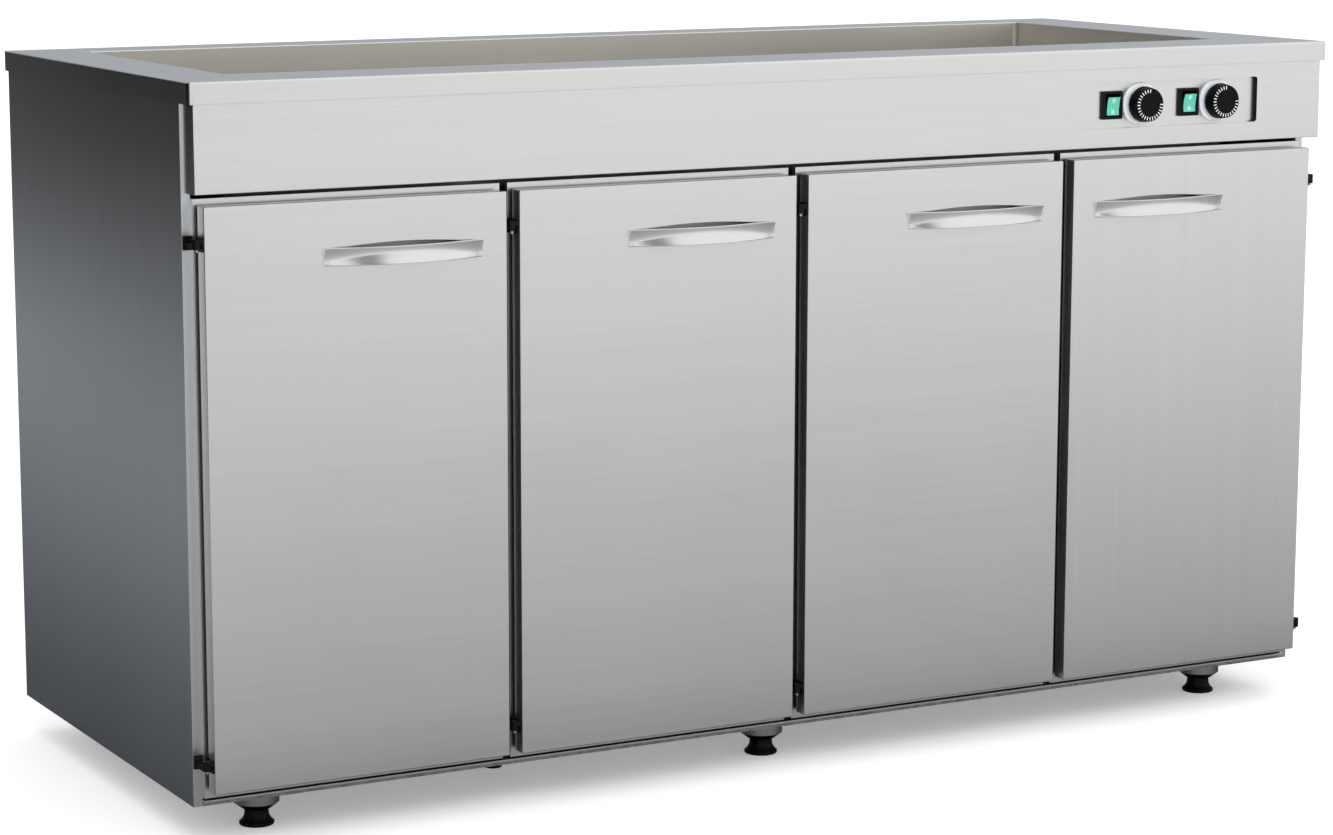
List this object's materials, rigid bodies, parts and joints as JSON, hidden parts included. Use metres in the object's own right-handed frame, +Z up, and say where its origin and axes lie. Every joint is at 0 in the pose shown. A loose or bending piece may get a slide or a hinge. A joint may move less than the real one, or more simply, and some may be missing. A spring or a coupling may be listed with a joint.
{
  "type": "bain marie counter",
  "caption": "Steel counter with a heated wet well in its top, dial and switch controls in the apron, and hinged cupboards below on levelling feet.",
  "frame": {"origin": "middle of the bounding box on the floor, under the feet", "axes": "+X along the counter to its controls end, +Y from the front to the back, +Z up"},
  "size_m": [1.6, 0.6636, 0.89],
  "materials": {
    "worktop_steel": "brushed along the length",
    "well_steel": "dull, as rolled",
    "apron_steel": "brushed along the length",
    "side_steel": "brushed upright",
    "door_steel": "brushed",
    "cupboard_steel": "bright rolled sheet",
    "galvanised_steel": "galvanised, dull",
    "fitting_steel": "turned",
    "element_steel": "dark, heat tinted",
    "valve_brass": "plain cast",
    "lagging_wool": "mineral wool",
    "black_plastic": "fine moulded texture",
    "knob_plastic": "satin, with white marks",
    "bezel_plastic": "smooth white",
    "ceramic_white": "smooth",
    "rocker_plastic": "clear green",
    "seal_rubber": "matt",
    "hinge_black": "black coated",
    "pin_steel": "drawn"
  },
  "bodies": {
    "counter": {"worktop": "worktop_steel", "well": "well_steel", "well_lagging": "lagging_wool", "well_casing": "galvanised_steel", "heating_elements": "element_steel", "drain_outlet": "fitting_steel", "drain_valve": "valve_brass", "drain_pipe": "black_plastic", "apron": "apron_steel", "control_plate": "apron_steel", "control_box": "galvanised_steel", "dial_bezels": "bezel_plastic", "switch_cases": "black_plastic", "thermostats": "ceramic_white", "terminal_block": "ceramic_white", "cable_gland": "black_plastic", "side_panel_left": "side_steel", "side_panel_right": "side_steel", "back_panel": "cupboard_steel", "base_frame": "galvanised_steel", "base_tray": "cupboard_steel", "foot_cups": "fitting_steel", "foot_plugs": "black_plastic", "compartment_1": "cupboard_steel", "compartment_2": "cupboard_steel", "compartment_3": "cupboard_steel", "compartment_4": "cupboard_steel", "hinge_brackets": "hinge_black", "hinge_pins": "pin_steel"},
    "door_1": {"door_skin_1": "door_steel", "door_liner_1": "cupboard_steel", "handle_1": "door_steel", "hinge_leaves_1": "hinge_black", "door_seal_1": "seal_rubber"},
    "door_2": {"door_skin_2": "door_steel", "door_liner_2": "cupboard_steel", "handle_2": "door_steel", "hinge_leaves_2": "hinge_black", "door_seal_2": "seal_rubber"},
    "door_3": {"door_skin_3": "door_steel", "door_liner_3": "cupboard_steel", "handle_3": "door_steel", "hinge_leaves_3": "hinge_black", "door_seal_3": "seal_rubber"},
    "door_4": {"door_skin_4": "door_steel", "door_liner_4": "cupboard_steel", "handle_4": "door_steel", "hinge_leaves_4": "hinge_black", "door_seal_4": "seal_rubber"},
    "knob_1": {"knob_1": "knob_plastic"},
    "rocker_1": {"rocker_1": "rocker_plastic"},
    "knob_2": {"knob_2": "knob_plastic"},
    "rocker_2": {"rocker_2": "rocker_plastic"},
    "valve_lever": {"valve_lever": "black_plastic"},
    "levelling_foot_1": {"levelling_foot_1": "black_plastic"},
    "levelling_foot_2": {"levelling_foot_2": "black_plastic"},
    "levelling_foot_3": {"levelling_foot_3": "black_plastic"},
    "levelling_foot_4": {"levelling_foot_4": "black_plastic"},
    "levelling_foot_5": {"levelling_foot_5": "black_plastic"},
    "levelling_foot_6": {"levelling_foot_6": "black_plastic"}
  },
  "joints": [
    {"name": "door_1_hinge", "type": "hinge", "parent": "counter", "child": "door_1", "pos_m": [-0.7885, -0.30475, 0.41], "axis": [0, 0, -1], "range_deg": [0, 110]},
    {"name": "door_2_hinge", "type": "hinge", "parent": "counter", "child": "door_2", "pos_m": [-0.3935, -0.30475, 0.41], "axis": [0, 0, -1], "range_deg": [0, 110]},
    {"name": "door_3_hinge", "type": "hinge", "parent": "counter", "child": "door_3", "pos_m": [0.0015, -0.30475, 0.41], "axis": [0, 0, -1], "range_deg": [0, 110]},
    {"name": "door_4_hinge", "type": "hinge", "parent": "counter", "child": "door_4", "pos_m": [0.7885, -0.30475, 0.41], "axis": [0, 0, 1], "range_deg": [0, 110]},
    {"name": "knob_1_turn", "type": "hinge", "parent": "counter", "child": "knob_1", "pos_m": [0.507, -0.31825, 0.8175], "axis": [0, 1, 0], "range_deg": [0, 270]},
    {"name": "rocker_1_tip", "type": "hinge", "parent": "counter", "child": "rocker_1", "pos_m": [0.461, -0.30485, 0.8175], "axis": [-1, 0, 0], "range_deg": [0, 14]},
    {"name": "knob_2_turn", "type": "hinge", "parent": "counter", "child": "knob_2", "pos_m": [0.628, -0.31825, 0.8175], "axis": [0, 1, 0], "range_deg": [0, 270]},
    {"name": "rocker_2_tip", "type": "hinge", "parent": "counter", "child": "rocker_2", "pos_m": [0.582, -0.30485, 0.8175], "axis": [-1, 0, 0], "range_deg": [0, 14]},
    {"name": "valve_lever_turn", "type": "hinge", "parent": "counter", "child": "valve_lever", "pos_m": [-0.35, -0.18125, 0.476], "axis": [0, 1, 0], "range_deg": [0, 90]},
    {"name": "foot_1_screw", "type": "slide", "parent": "counter", "child": "levelling_foot_1", "axis": [0, 0, -1], "range_m": [0, 0.025]},
    {"name": "foot_2_screw", "type": "slide", "parent": "counter", "child": "levelling_foot_2", "axis": [0, 0, -1], "range_m": [0, 0.025]},
    {"name": "foot_3_screw", "type": "slide", "parent": "counter", "child": "levelling_foot_3", "axis": [0, 0, -1], "range_m": [0, 0.025]},
    {"name": "foot_4_screw", "type": "slide", "parent": "counter", "child": "levelling_foot_4", "axis": [0, 0, -1], "range_m": [0, 0.025]},
    {"name": "foot_5_screw", "type": "slide", "parent": "counter", "child": "levelling_foot_5", "axis": [0, 0, -1], "range_m": [0, 0.025]},
    {"name": "foot_6_screw", "type": "slide", "parent": "counter", "child": "levelling_foot_6", "axis": [0, 0, -1], "range_m": [0, 0.025]}
  ]
}
